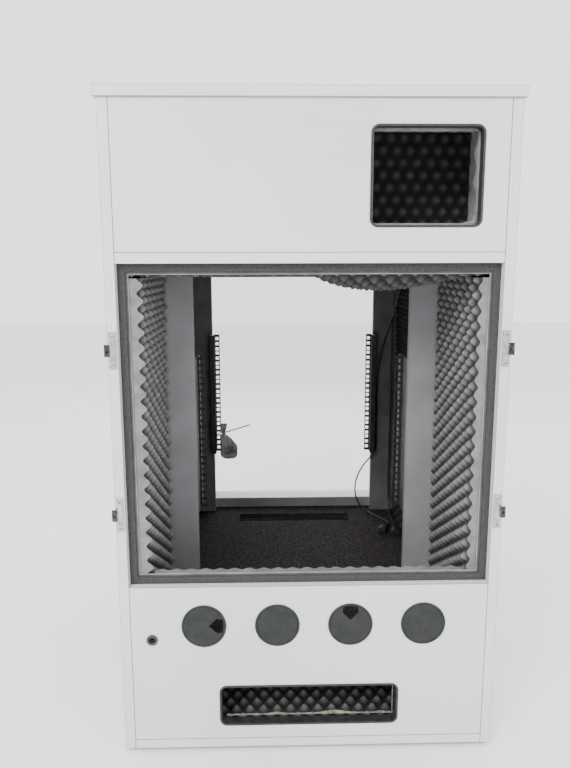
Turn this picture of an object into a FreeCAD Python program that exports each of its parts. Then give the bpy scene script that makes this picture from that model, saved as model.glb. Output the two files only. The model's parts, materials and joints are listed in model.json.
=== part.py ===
"""Sound-damping rack cabinet, service side at -Y, glazed door at +Y, standing on nail-on glides."""
import FreeCAD, Part
import math
import os
import re
from FreeCAD import Placement, Rotation, Vector

doc = FreeCAD.newDocument("rack_cabinet")

# ---------------------------------------------------------------- driving sizes (millimetres)
SIZES = {
    # carcass
    "body_wide": 711.2, "body_tall": 1219.2, "body_deep": 1000.0, "board": 19.0,
    "top_lip": 5.0, "glide_tall": 8.0, "glide_radius": 11.0, "glide_inset": 45.0,
    "opening_low": 334.4, "opening_high": 929.0, "front_thick": 57.0,
    "window_wide": 528.0, "window_low": 175.6, "window_high": 886.0,
    # chamber floor
    "floor_high": 146.0, "floor_thick": 12.0, "carpet": 4.0,
    "slot_wide": 344.0, "slot_deep": 64.0, "slot_from_rear": 812.0,
    # rear doorway seat
    "seat_wide": 19.0, "seat_thick": 3.2, "seat_lap": 19.0, "gasket_wide": 13.5, "gasket_thick": 4.0,
    # foam
    "foam": 25.4, "foam_gap": 0.4,
    # rack boards and rails
    "rear_board_gap": 480.0, "front_board_gap": 494.0, "rear_board_at": 320.0, "front_board_at": 903.0,
    "rear_rail_at": 400.0,
    "rail_gap": 450.0, "rail_flange": 16.0, "rail_web": 38.0, "rail_steel": 2.0, "rail_tall": 368.0,
    "rail_centre": 530.0, "rail_hole": 9.5, "hole_across": 465.1, "rack_unit": 44.45, "rack_units": 8,
    "hole_step": 15.875, "batten_thick": 11.5,
    # cut-outs and their edge trims
    "exhaust_wide": 189.0, "exhaust_tall": 164.0, "exhaust_across": 197.0, "exhaust_centre": 1074.0,
    "intake_wide": 340.0, "intake_tall": 80.0, "intake_centre": 89.0,
    "cut_corner": 12.0, "trim_lip": 2.5, "trim_thick": 1.5, "foam_cut_back": 3.0,
    # cable grommets and the power jack
    "grommet_drop": 78.4, "grommet_first": -199.0, "grommet_step": 138.3,
    "grommet_bore": 40.0, "grommet_rim": 42.2, "rim_thick": 2.5, "liner_deep": 22.0,
    "cap_radius": 38.2, "cap_thick": 4.0, "turn_gap": 0.3, "liner_wall": 3.0,
    "slot_start": 9.0, "slot_half": 15.0, "slot_half_outer": 13.0,
    "jack_across": -297.0, "jack_drop": 105.4, "jack_radius": 10.5, "jack_rim": 3.0,
    "jack_body": 7.8, "jack_deep": 21.8, "jack_bore": 5.5, "jack_bore_deep": 12.0, "jack_pin": 1.2,
    # latch keepers for the lift-out door
    "keeper_tall": 65.0, "keeper_wide": 13.0, "keeper_thick": 1.6, "keeper_reach": 6.5,
    "keeper_out": 4.5, "hook_tall": 22.0, "keeper_high": 780.0, "keeper_low": 478.0,
    "screw_step": 50.0, "screw_head": 3.6, "screw_shank": 1.9, "screw_long": 14.0, "head_thick": 1.4,
    # fans and the exhaust baffle
    "fan_size": 120.0, "fan_tall": 38.0, "fan_bore": 57.0, "fan_across": 85.0, "fan_at": 640.0,
    "hub_radius": 21.0, "hub_plate": 3.0, "strut": 6.0, "blade_reach": 54.5, "blade_tall": 20.0,
    "blade_thick": 2.0, "blade_tilt": 35.0, "blades": 7, "blade_root": 3.0,
    "fan_clear": 1.0,
    "baffle_at": 235.0, "baffle_gap": 62.0,
    # glazed front door
    "door_gap": 2.0, "door_thick": 25.0, "door_clear": 3.0, "glass_thick": 6.0, "glass_lap": 8.0,
    "glass_margin": 4.0, "handle_reach": 28.0, "handle_tall": 160.0, "handle_bar": 5.0,
    "handle_across": 312.0, "handle_centre": 610.0,
    "hinge_radius": 4.0, "pin_radius": 2.0, "pin_fit": 0.06, "hinge_tall": 60.0, "leaf_thick": 1.6,
    "leaf_wide": 20.0, "hinge_low": 150.0, "hinge_step": 460.0,
    # fan cord, its plugs and the bag of screws
    "cord_radius": 2.2, "route_side": 311.2, "cord_gap": 0.6, "plug_long": 38.0, "plug_wide": 25.0,
    "plug_tall": 17.0, "prong_long": 17.0, "prong_step": 12.7, "prong_thick": 1.5, "prong_tall": 6.3,
    "prong_root": 2.0,
    "bag_half_wide": 26.0, "bag_half_deep": 11.0, "bag_half_tall": 39.0,
    "bag_across": -200.0, "bag_at": 885.0, "bag_centre": 362.0, "neck_across": -216.6, "neck_at": 887.6,
    "neck_radius": 4.0, "neck_tall": 17.0, "flare_radius": 11.0, "flare_tall": 34.0,
    "tie_long": 80.0, "tie_rise": 17.0, "tie_wide": 3.6, "tie_thick": 1.2, "tie_loop": 13.0,
    "tie_across": -222.0, "tie_at": 893.0, "tie_clear": 0.8,
}

sheet = doc.addObject("Spreadsheet::Sheet", "Sizes")
for row, (alias, value) in enumerate(SIZES.items(), start=1):
    sheet.set(f"A{row}", alias)
    sheet.set(f"B{row}", str(value))
    sheet.setAlias(f"B{row}", alias)
doc.recompute()


def formula(text):
    """A formula over plain names, as the document's expressions write it."""
    return re.sub(r"[a-z]+(?:_[a-z]+)*", lambda word: "Sizes." + word.group(0), str(text))


REAR = "((keeper_reach - body_deep - door_gap - door_thick - handle_reach) / 2)"
INSIDE = "(body_wide / 2 - board)"
FRONT_WALL = "(body_deep - front_thick)"
DOOR_AT = "(body_deep + door_gap)"
PLENUM_LOW = "(floor_high - carpet - floor_thick)"
CEILING_TOP = "(opening_high + board)"
UNDER_TOP = "(body_tall - board)"
nodes = []


# ---------------------------------------------------------------- building blocks
def place(item, across, depth, height):
    """Put an object by formulas: across from the middle, depth from the rear face, height over the base."""
    item.setExpression("Placement.Base.x", formula(across))
    item.setExpression("Placement.Base.y", formula(f"{REAR} + {depth}"))
    item.setExpression("Placement.Base.z", formula(f"glide_tall + {height}"))
    return item


def node(item, label):
    """Name an object as one of the cabinet's sub-parts."""
    item.Label = label
    nodes.append(item)
    return item


def box(size, at):
    """A box from formulas for its size and its low corner."""
    item = doc.addObject("Part::Box", "box")
    for side, text in zip(("Length", "Width", "Height"), size):
        item.setExpression(side, formula(text))
    return place(item, *at)


def centred(wide, deep, tall, depth, height):
    """A box that is centred across the cabinet."""
    return box((wide, deep, tall), (f"-({wide}) / 2", depth, height))


def beside(sign, low, high, deep, tall, depth, height):
    """A box between two distances from the middle, on the right (+1) or the left (-1)."""
    start = low if sign > 0 else f"-({high})"
    return box((f"{high} - ({low})", deep, tall), (start, depth, height))


def rod(radius, long, at, turn=Rotation()):
    """A cylinder; turned about X by -90 degrees it runs along +Y."""
    item = doc.addObject("Part::Cylinder", "rod")
    item.setExpression("Radius", formula(radius))
    item.setExpression("Height", formula(long))
    item.Placement = Placement(Vector(), turn)
    return place(item, *at)


ALONG_Y = Rotation(Vector(1, 0, 0), -90)


def cut(base, *tools):
    """The base with each tool taken away."""
    for tool in tools:
        item = doc.addObject("Part::Cut", "cut")
        item.Base = base
        item.Tool = tool
        base = item
    return base


def fuse(*parts):
    """Several touching pieces as one solid."""
    item = doc.addObject("Part::MultiFuse", "fuse")
    item.Shapes = list(parts)
    return item


def group(*parts):
    """Several separate solids of one kind as one sub-part."""
    item = doc.addObject("Part::Compound", "group")
    item.Links = list(parts)
    return item


def rounded(size, at, radius):
    """A box with its four edges along Y rounded."""
    base = box(size, at)
    doc.recompute()
    item = doc.addObject("Part::Fillet", "rounded")
    item.Base = base
    edges = []
    for number, edge in enumerate(base.Shape.Edges, start=1):
        if abs(edge.tangentAt(0).y) > 0.99:
            edges.append((number, radius, radius))
    item.Edges = edges
    return item


def body_on(plane_role):
    """A new body and a sketch on one of its own origin planes."""
    body = doc.addObject("PartDesign::Body", "body")
    plane = [p for p in body.Origin.OriginFeatures if p.Role == plane_role][0]
    sketch = body.newObject("Sketcher::SketchObject", "profile")
    sketch.AttachmentSupport = [(plane, "")]
    sketch.MapMode = "FlatFace"
    return body, plane, sketch


def outline(sketch, points):
    """A closed polygon in a sketch."""
    corners = [Vector(x, y, 0) for x, y in points]
    for start, end in zip(corners, corners[1:] + corners[:1]):
        sketch.addGeometry(Part.LineSegment(start, end), False)


# ---------------------------------------------------------------- carcass
def carcass():
    inner_wide = f"2 * {INSIDE}"
    node(centred(inner_wide, "body_deep", "board", "0", "0"), "base_panel")
    for name, sign in (("left", -1), ("right", 1)):
        side = beside(sign, INSIDE, "body_wide / 2", "body_deep", UNDER_TOP, "0", "0")
        node(side, f"side_panel_{name}")
    top_deep = f"{DOOR_AT} + door_thick + 2 * top_lip"
    node(centred("body_wide + 2 * top_lip", top_deep, "board", "-top_lip", UNDER_TOP), "top_panel")
    ceiling = centred(inner_wide, FRONT_WALL, "board", "0", "opening_high")
    bores = [rod("fan_bore", "board", (f"{sign} * fan_across", "fan_at", "opening_high"))
             for sign in (-1, 1)]
    node(cut(ceiling, *bores), "ceiling_board")
    floor = centred(inner_wide, f"{FRONT_WALL} - board", "floor_thick", "board", PLENUM_LOW)
    slot = centred("slot_wide", "slot_deep", "floor_thick", "slot_from_rear", PLENUM_LOW)
    node(cut(floor, slot), "floor_board")
    carpet = centred(inner_wide, f"{FRONT_WALL} - board", "carpet", "board", "floor_high - carpet")
    slot = centred("slot_wide", "slot_deep", "carpet", "slot_from_rear", "floor_high - carpet")
    node(cut(carpet, slot), "floor_carpet")
    glides = [rod("glide_radius", "glide_tall",
                  (f"{sign} * (body_wide / 2 - glide_inset)", depth, "-glide_tall"))
              for sign in (-1, 1) for depth in ("glide_inset", "body_deep - glide_inset")]
    node(group(*glides), "glides")


def front_wall():
    """Stiles and rails round the window, three boards thick."""
    for name, sign in (("left", -1), ("right", 1)):
        stile = beside(sign, "window_wide / 2", INSIDE, "front_thick", "window_high - window_low",
                       FRONT_WALL, "window_low")
        node(stile, f"front_stile_{name}")
    wide = f"2 * {INSIDE}"
    node(centred(wide, "front_thick", "window_low - board", FRONT_WALL, "board"), "front_rail_low")
    node(centred(wide, "front_thick", f"{UNDER_TOP} - window_high", FRONT_WALL, "window_high"),
         "front_rail_high")


def rear_panels():
    wide = f"2 * {INSIDE}"
    upper = centred(wide, "board", f"{UNDER_TOP} - {CEILING_TOP}", "0", CEILING_TOP)
    exhaust = rounded(("exhaust_wide", "board + 2", "exhaust_tall"),
                      ("exhaust_across - exhaust_wide / 2", "-1", "exhaust_centre - exhaust_tall / 2"),
                      SIZES["cut_corner"])
    node(cut(upper, exhaust), "rear_upper_panel")
    lower = centred(wide, "board", "opening_low - board", "0", "board")
    intake = rounded(("intake_wide", "board + 2", "intake_tall"),
                     ("-intake_wide / 2", "-1", "intake_centre - intake_tall / 2"), SIZES["cut_corner"])
    bores = [rod("grommet_bore", "board", (across, "0", "opening_low - grommet_drop"), ALONG_Y)
             for across in grommet_places()]
    jack = rod("jack_body + 0.2", "board", ("jack_across", "0", "opening_low - jack_drop"), ALONG_Y)
    node(cut(lower, intake, jack, *bores), "rear_lower_panel")


def grommet_places():
    return [f"(grommet_first + {index} * grommet_step)" for index in range(4)]


def edge_trim(wide, tall, across, centre):
    """Channel trim round a cut-out: a lip outside, a lip inside and a wall along the cut edge."""
    def ring(outer, depth, deep):
        loop = rounded((f"{wide} + 2 * ({outer})", deep, f"{tall} + 2 * ({outer})"),
                       (f"{across} - {wide} / 2 - ({outer})", depth, f"{centre} - {tall} / 2 - ({outer})"),
                       SIZES["cut_corner"] + SIZES.get(outer, 0.0))
        hole = rounded((f"{wide} - 2 * trim_thick", f"{deep} + 2", f"{tall} - 2 * trim_thick"),
                       (f"{across} - {wide} / 2 + trim_thick", f"{depth} - 1",
                        f"{centre} - {tall} / 2 + trim_thick"),
                       SIZES["cut_corner"] - SIZES["trim_thick"])
        return cut(loop, hole)
    outside = ring("trim_lip", "-trim_thick", "trim_thick")
    wall = ring("0", "0", "board")
    return fuse(outside, wall)


# ---------------------------------------------------------------- rear doorway
def doorway():
    """The seat that the lift-out door closes on, and the foam gasket stuck to it."""
    tall = "(opening_high - opening_low)"
    seat = centred(f"2 * {INSIDE}", "seat_thick", f"{tall} + seat_lap", "board", "opening_low - seat_lap")
    hole = centred(f"2 * ({INSIDE} - seat_wide)", "seat_thick", f"{tall} - 2 * seat_wide", "board",
                   "opening_low + seat_wide")
    node(cut(seat, hole), "door_seat_frame")
    gasket = centred(f"2 * {INSIDE}", "gasket_thick", tall, "board - gasket_thick", "opening_low")
    hole = centred(f"2 * ({INSIDE} - gasket_wide)", "gasket_thick", f"{tall} - 2 * gasket_wide",
                   "board - gasket_thick", "opening_low + gasket_wide")
    node(cut(gasket, hole), "door_seat_gasket")


def latch_keepers():
    """Strike plates on the side panels' rear edges, each with a hook that the latch pulls on."""
    screws = []
    for name, sign in (("left", -1), ("right", 1)):
        for level, centre in (("high", "keeper_high"), ("low", "keeper_low")):
            low = "(body_wide / 2 - (board + keeper_wide) / 2)"
            high = "(body_wide / 2 - (board - keeper_wide) / 2)"
            plate = beside(sign, low, high, "keeper_thick", "keeper_tall", "-keeper_thick",
                           f"{centre} - keeper_tall / 2")
            web = beside(sign, f"{high} - keeper_thick", high, "keeper_reach", "hook_tall", "-keeper_reach",
                         f"{centre} - hook_tall / 2")
            tongue = beside(sign, f"{high} - keeper_thick", "body_wide / 2 + keeper_out", "keeper_thick",
                            "hook_tall", "-keeper_reach", f"{centre} - hook_tall / 2")
            holes = []
            for end in (-1, 1):
                spot = (f"{sign} * (body_wide / 2 - board / 2)", "-keeper_thick",
                        f"{centre} + {end} * screw_step / 2")
                holes.append(rod("screw_shank + 0.1", "keeper_thick", spot, ALONG_Y))
                head = rod("screw_head", "head_thick",
                           (spot[0], "-keeper_thick - head_thick", spot[2]), ALONG_Y)
                shank = rod("screw_shank", "keeper_thick", spot, ALONG_Y)
                screws.append(fuse(head, shank))
            node(cut(fuse(plate, web, tongue), *holes), f"latch_keeper_{level}_{name}")
    node(group(*screws), "keeper_screws")


# ---------------------------------------------------------------- rack boards, rails and foam
def rack_frames():
    battens = []
    for where, at, gap in (("rear", "rear_board_at", "rear_board_gap"),
                           ("front", "front_board_at", "front_board_gap")):
        for name, sign in (("left", -1), ("right", 1)):
            board = beside(sign, f"{gap} / 2", INSIDE, "board", "opening_high - floor_high", at,
                           "floor_high")
            node(board, f"rack_board_{where}_{name}")
            start, long = f"{at} - rail_web", "rail_web"
            if where == "rear":
                start, long = f"{at} + board", f"rear_rail_at + rail_web - {at} - board"
            inner = "rail_gap / 2 + rail_flange"
            battens.append(beside(sign, inner, f"{inner} + batten_thick", long, "rail_tall", start,
                                  "rail_centre - rail_tall / 2"))
            rack_rail(f"rack_rail_{where}_{name}", sign, where)
    node(group(*battens), "rail_battens")


def rack_rail(label, sign, where):
    """An angle with a punched flange; its web runs into the chamber."""
    inner = SIZES["rail_gap"] / 2
    outer = inner + SIZES["rail_flange"]
    steel, web = SIZES["rail_steel"], SIZES["rail_web"]
    if where == "rear":
        depth = [0, steel, web]
    else:
        depth = [web, web - steel, 0]
    body, _, sketch = body_on("XY_Plane")
    profile = [(inner, depth[0]), (outer, depth[0]), (outer, depth[2]), (outer - steel, depth[2]),
               (outer - steel, depth[1]), (inner, depth[1])]
    outline(sketch, [(sign * x, y) for x, y in profile])
    pad = body.newObject("PartDesign::Pad", "angle")
    pad.Profile = sketch
    pad.setExpression("Length", formula("rail_tall"))
    doc.recompute()
    plane = [p for p in body.Origin.OriginFeatures if p.Role == "XZ_Plane"][0]
    holes = body.newObject("Sketcher::SketchObject", "holes")
    holes.AttachmentSupport = [(plane, "")]
    holes.MapMode = "FlatFace"
    half = SIZES["rail_hole"] / 2
    first = (SIZES["rail_tall"] - SIZES["rack_units"] * SIZES["rack_unit"]) / 2 + (
        SIZES["rack_unit"] - 2 * SIZES["hole_step"]) / 2
    across = sign * SIZES["hole_across"] / 2
    for index in range(3):
        level = first + index * SIZES["hole_step"]
        outline(holes, [(across - half, level - half), (across + half, level - half),
                        (across + half, level + half), (across - half, level + half)])
    punch = body.newObject("PartDesign::Pocket", "punch")
    punch.Profile = holes
    punch.Type = "ThroughAll"
    punch.Midplane = True
    rows = body.newObject("PartDesign::LinearPattern", "rows")
    rows.Originals = [punch]
    rows.Direction = (holes, ["V_Axis"])
    rows.Length = (SIZES["rack_units"] - 1) * SIZES["rack_unit"]
    rows.Occurrences = int(SIZES["rack_units"])
    body.Tip = rows
    start = "rear_rail_at" if where == "rear" else "front_board_at - rail_web"
    place(body, "0", start, "rail_centre - rail_tall / 2")
    node(body, label)


def foam_linings():
    seat_back = "(board + seat_thick)"
    low = "floor_high"
    tall = "opening_high - foam - floor_high"
    lined = f"({INSIDE} - board)"
    start = "(rear_board_at + board)"
    liners, middle = [], []
    for name, sign in (("left", -1), ("right", 1)):
        long = f"rear_board_at - {seat_back}"
        liners.append(beside(sign, lined, INSIDE, long, tall, seat_back, low))
        node(beside(sign, f"{lined} - foam", lined, long, tall, seat_back, low), f"side_foam_rear_{name}")
        middle.append(beside(sign, f"{INSIDE} - foam", INSIDE, f"front_board_at - {start}", tall, start,
                             low))
    node(group(*liners), "side_liners")
    node(group(*middle), "side_foam_middle")
    ceiling = centred(f"2 * {INSIDE}", f"{FRONT_WALL} - {seat_back}", "foam", seat_back,
                      "opening_high - foam")
    notches = []
    for at, gap in (("rear_board_at", "rear_board_gap"), ("front_board_at", "front_board_gap")):
        for sign in (-1, 1):
            notches.append(beside(sign, f"{gap} / 2", INSIDE, "board", "foam", at, "opening_high - foam"))
    bores = [rod("fan_bore", "foam", (f"{sign} * fan_across", "fan_at", "opening_high - foam"))
             for sign in (-1, 1)]
    node(cut(ceiling, *notches, *bores), "ceiling_foam")
    lip = centred(f"2 * ({lined} - foam) - 2 * foam_gap", "foam", "opening_low + seat_wide - floor_high",
                  seat_back, low)
    bores = [rod("grommet_rim", "foam", (across, seat_back, "opening_low - grommet_drop"), ALONG_Y)
             for across in grommet_places()]
    node(cut(lip, *bores), "lower_panel_foam")
    node(centred(f"2 * {INSIDE}", f"{FRONT_WALL} - board", "foam", "board", "board"), "lower_plenum_foam")
    panel = centred(f"2 * {INSIDE}", "foam", f"{UNDER_TOP} - {CEILING_TOP}", "board", CEILING_TOP)
    hole = rounded(("exhaust_wide - 2 * foam_cut_back", "foam + 2", "exhaust_tall - 2 * foam_cut_back"),
                   ("exhaust_across - exhaust_wide / 2 + foam_cut_back", "board - 1",
                    "exhaust_centre - exhaust_tall / 2 + foam_cut_back"), SIZES["cut_corner"])
    node(cut(panel, hole), "upper_panel_foam")
    node(centred(f"2 * {INSIDE}", "board", f"{UNDER_TOP} - {CEILING_TOP} - baffle_gap", "baffle_at",
                 f"{CEILING_TOP} + baffle_gap"), "exhaust_baffle")


# ---------------------------------------------------------------- grommets, jack, fans
def grommets():
    """Desk grommets: a fixed liner and a cap that turns in it. Two caps have a cable slot."""
    liners = []
    slots = {1: 0.0, 3: 90.0}
    for index, across in enumerate(grommet_places(), start=1):
        outside = (across, "-rim_thick", "opening_low - grommet_drop")
        rim = rod("grommet_rim", "rim_thick", outside, ALONG_Y)
        sleeve = rod("grommet_bore - 0.1", "liner_deep", (across, "0", outside[2]), ALONG_Y)
        seat = rod("cap_radius + turn_gap", "cap_thick + turn_gap", outside, ALONG_Y)
        bore = rod("grommet_bore - liner_wall - 1", "liner_deep + rim_thick", outside, ALONG_Y)
        liners.append(cut(fuse(rim, sleeve), seat, bore))
        cap = grommet_cap(slots.get(index))
        place(cap, *outside)
        node(cap, f"grommet_cap_{index}")
    node(group(*liners), "grommet_liners")


def grommet_cap(slot_angle):
    """A disc; with a slot, a pointed notch runs from near the middle out to the edge."""
    body, plane, sketch = body_on("XZ_Plane")
    sketch.addGeometry(Part.Circle(Vector(), Vector(0, 0, 1), SIZES["cap_radius"]), False)
    disc = body.newObject("PartDesign::Pad", "disc")
    disc.Profile = sketch
    disc.setExpression("Length", formula("cap_thick"))
    disc.Reversed = True
    doc.recompute()
    if slot_angle is not None:
        notch = body.newObject("Sketcher::SketchObject", "notch")
        notch.AttachmentSupport = [(plane, "")]
        notch.MapMode = "FlatFace"
        start, half, half_outer = SIZES["slot_start"], SIZES["slot_half"], SIZES["slot_half_outer"]
        shape = [(start, 0), (start + half, half), (SIZES["cap_radius"] + 2, half_outer),
                 (SIZES["cap_radius"] + 2, -half_outer), (start + half, -half)]
        turn = math.radians(slot_angle)
        outline(notch, [(x * math.cos(turn) - z * math.sin(turn), x * math.sin(turn) + z * math.cos(turn))
                        for x, z in shape])
        slot = body.newObject("PartDesign::Pocket", "slot")
        slot.Profile = notch
        slot.Type = "ThroughAll"
        slot.Midplane = True
        body.Tip = slot
    return body


def power_jack():
    spot = ("jack_across", "-jack_rim", "opening_low - jack_drop")
    rim = rod("jack_radius", "jack_rim", spot, ALONG_Y)
    barrel = rod("jack_body", "jack_deep", ("jack_across", "0", "opening_low - jack_drop"), ALONG_Y)
    bore = rod("jack_bore", "jack_bore_deep", spot, ALONG_Y)
    pin = rod("jack_pin", "jack_bore_deep", spot, ALONG_Y)
    node(fuse(cut(fuse(rim, barrel), bore), pin), "power_jack")


def fans():
    """Two box fans stand on the ceiling board over its bores and blow up into the exhaust space."""
    frames = []
    for name, sign in (("left", -1), ("right", 1)):
        across = f"{sign} * fan_across"
        shell = box(("fan_size", "fan_size", "fan_tall"),
                    (f"{across} - fan_size / 2", "fan_at - fan_size / 2", CEILING_TOP))
        bore = rod("fan_bore", "fan_tall", (across, "fan_at", CEILING_TOP))
        plate = rod("hub_radius", "hub_plate", (across, "fan_at", CEILING_TOP))
        arms = [box(("fan_bore * 2 + 4", "strut", "hub_plate"),
                    (f"{across} - fan_bore - 2", "fan_at - strut / 2", CEILING_TOP)),
                box(("strut", "fan_bore * 2 + 4", "hub_plate"),
                    (f"{across} - strut / 2", "fan_at - fan_bore - 2", CEILING_TOP))]
        frames.append(fuse(cut(shell, bore), plate, *arms))
        node(fan_rotor(across), f"fan_rotor_{name}")
    node(group(*frames), "fan_frames")


def fan_rotor(across):
    """A hub with tilted blades; its origin is on the fan's axis."""
    rise = SIZES["fan_tall"] - SIZES["hub_plate"] - 2 * SIZES["fan_clear"]
    shape = Part.makeCylinder(SIZES["hub_radius"], rise)
    start = SIZES["hub_radius"] - SIZES["blade_root"]
    tall, thick = SIZES["blade_tall"], SIZES["blade_thick"]
    for index in range(SIZES["blades"]):
        blade = Part.makeBox(SIZES["blade_reach"] - start, tall, thick, Vector(start, -tall / 2, -thick / 2))
        blade.rotate(Vector(), Vector(1, 0, 0), SIZES["blade_tilt"])
        blade.translate(Vector(0, 0, rise / 2))
        blade.rotate(Vector(), Vector(0, 0, 1), index * 360 / SIZES["blades"])
        shape = shape.fuse(blade)
    item = doc.addObject("Part::Feature", "rotor")
    item.Shape = shape
    return place(item, across, "fan_at", f"{CEILING_TOP} + hub_plate + fan_clear")


# ---------------------------------------------------------------- glazed front door
def front_door():
    wide = "body_wide"
    tall = f"({UNDER_TOP} - 2 * door_clear)"
    leaf = centred(wide, "door_thick", tall, DOOR_AT, "door_clear")
    light = centred("window_wide + 2 * glass_margin", "door_thick",
                    "window_high - window_low + 2 * glass_margin", DOOR_AT, "window_low - glass_margin")
    pocket = centred("window_wide + 2 * glass_margin + 2 * glass_lap", "glass_thick",
                     "window_high - window_low + 2 * glass_margin + 2 * glass_lap", DOOR_AT,
                     "window_low - glass_margin - glass_lap")
    node(cut(leaf, light, pocket), "front_door_frame")
    node(centred("window_wide + 2 * glass_margin + 2 * glass_lap", "glass_thick",
                 "window_high - window_low + 2 * glass_margin + 2 * glass_lap", DOOR_AT,
                 "window_low - glass_margin - glass_lap"), "front_door_glass")
    face = f"({DOOR_AT} + door_thick)"
    posts = [rod("handle_bar - 1", "handle_reach - handle_bar",
                 ("handle_across", face, f"handle_centre + {end} * (handle_tall / 2 - 2 * handle_bar)"), ALONG_Y)
             for end in (-1, 1)]
    grip = rod("handle_bar", "handle_tall", ("handle_across", f"{face} + handle_reach - handle_bar",
                                            "handle_centre - handle_tall / 2"))
    node(fuse(grip, *posts), "front_door_handle")


def hinges():
    """Three lift-off hinges on the left front corner: a fixed leaf with its pin, a leaf on the door."""
    axis_x = "(-body_wide / 2 - hinge_radius)"
    axis_y = "(body_deep + door_gap / 2)"
    fixed, moving = [], []
    for index in range(3):
        low = f"(hinge_low + {index} * hinge_step - hinge_tall / 2)"
        leaf_x = "-body_wide / 2 - leaf_thick"
        half = "hinge_tall / 2"
        fixed.append(fuse(
            box(("leaf_thick", "leaf_wide", "hinge_tall"),
                (leaf_x, f"{axis_y} - hinge_radius - 1 - leaf_wide", low)),
            box(("leaf_thick", "hinge_radius + 1", half), (leaf_x, f"{axis_y} - hinge_radius - 1", low)),
            rod("hinge_radius", half, (axis_x, axis_y, low)),
            rod("pin_radius", "hinge_tall - 2", (axis_x, axis_y, low))))
        upper = f"{low} + {half} + turn_gap"
        knuckle = cut(rod("hinge_radius", f"{half} - turn_gap", (axis_x, axis_y, upper)),
                      rod("pin_radius + pin_fit", half, (axis_x, axis_y, upper)))
        tab = cut(box(("leaf_thick", "hinge_radius + 1", f"{half} - turn_gap"), (leaf_x, axis_y, upper)),
                  rod("hinge_radius - 0.5", half, (axis_x, axis_y, upper)))
        moving.append(fuse(knuckle, tab,
                           box(("leaf_thick", "leaf_wide", "hinge_tall"),
                               (leaf_x, f"{axis_y} + hinge_radius + 1", low))))
    node(group(*fixed), "hinge_leaves_fixed")
    node(group(*moving), "hinge_leaves_door")


# ---------------------------------------------------------------- fan cord, plugs and the screw bag
CORD_A = [
    (302, 765, 903), (301, 770, 858), (299, 800, 807), (291, 830, 768), (284, 856, 728), (275, 875, 682),
    (266, 886, 634), (261, 892, 580), (260, 894, 524), (261, 893, 466), (260, 895, 408), (262, 893, 353),
    (245, 891, 325), (222, 888, 301), (204, 886, 269), (195, 884, 232), (199, 888, 196), (212, 889, 167),
    (231, 881, 151), (248, 857, 148.6), (264, 828, 148.6), (281, 801, 149), (288, 772, 151), (272, 742, 154.8),
]
CORD_B = [
    (301, 850, 903), (302, 862, 850), (303, 872, 792), (301, 880, 733), (303, 884, 675), (302, 881, 615),
    (304, 885, 556), (302, 883, 497), (303, 886, 438), (301, 884, 380), (303, 886, 322), (301, 885, 265),
    (303, 883, 212), (302, 872, 170), (300, 843, 150), (302, 802, 148.6), (301, 762, 150), (297, 728, 154.8),
]


rear_face = (SIZES["keeper_reach"] - SIZES["body_deep"] - SIZES["door_gap"] - SIZES["door_thick"]
             - SIZES["handle_reach"]) / 2
RUN_SHARE = 0.45      # how much of the shorter run each arc of a cord takes up


def beside_foam(points):
    """A route moved with the side foam's face, starting just under the ceiling foam."""
    shift = SIZES["body_wide"] / 2 - SIZES["board"] - SIZES["foam"] - SIZES["route_side"]
    top = SIZES["opening_high"] - SIZES["foam"] - SIZES["cord_gap"]
    moved = [(x + shift, y, z) for x, y, z in points]
    return [(moved[0][0], moved[0][1], top)] + moved[1:]


def cord_tube(points, radius):
    """A tube along straight runs joined by tangent arcs; also prints its arcs and its volume."""
    spots = [Vector(x, y + rear_face, z + SIZES["glide_tall"]) for x, y, z in points]
    edges, start, radii = [], spots[0], []
    for before, corner, after in zip(spots, spots[1:], spots[2:]):
        run = min((corner - before).Length, (after - corner).Length)
        way_in = (corner - before).normalize()
        way_out = (after - corner).normalize()
        half_turn = way_in.getAngle(way_out) / 2
        bend = RUN_SHARE * run / math.tan(half_turn)
        inward = (way_out - way_in).normalize()
        entry = corner - way_in * (RUN_SHARE * run)
        leave = corner + way_out * (RUN_SHARE * run)
        middle = corner + inward * (bend / math.cos(half_turn) - bend)
        edges += [Part.LineSegment(start, entry).toShape(), Part.Arc(entry, middle, leave).toShape()]
        start = leave
        radii.append(round(bend, 1))
    edges.append(Part.LineSegment(start, spots[-1]).toShape())
    path = Part.Wire(edges)
    heading = spots[1] - spots[0]
    ring = Part.Wire([Part.makeCircle(radius, spots[0], heading)])
    tube = path.makePipeShell([ring], True, False)
    print("cord arcs", radii)
    print("cord volume", round(tube.Volume), "expected", round(math.pi * radius ** 2 * path.Length))
    return tube


def plug(label, spot, turn):
    """A moulded two-blade plug that lies on the carpet, blades forward."""
    long, wide, tall = SIZES["plug_long"], SIZES["plug_wide"], SIZES["plug_tall"]
    thick, high, root = SIZES["prong_thick"], SIZES["prong_tall"], SIZES["prong_root"]
    shape = Part.makeBox(long, wide, tall, Vector(0, -wide / 2, 0))
    for side in (-1, 1):
        corner = Vector(long - root, side * SIZES["prong_step"] / 2 - thick / 2, (tall - high) / 2)
        shape = shape.fuse(Part.makeBox(SIZES["prong_long"] + root, thick, high, corner))
    item = doc.addObject("Part::Feature", "plug")
    item.Shape = shape
    x, y, z = spot
    item.Placement = Placement(Vector(x, y + rear_face, z + SIZES["glide_tall"]),
                               Rotation(Vector(0, 0, 1), turn))
    node(item, label)


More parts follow.
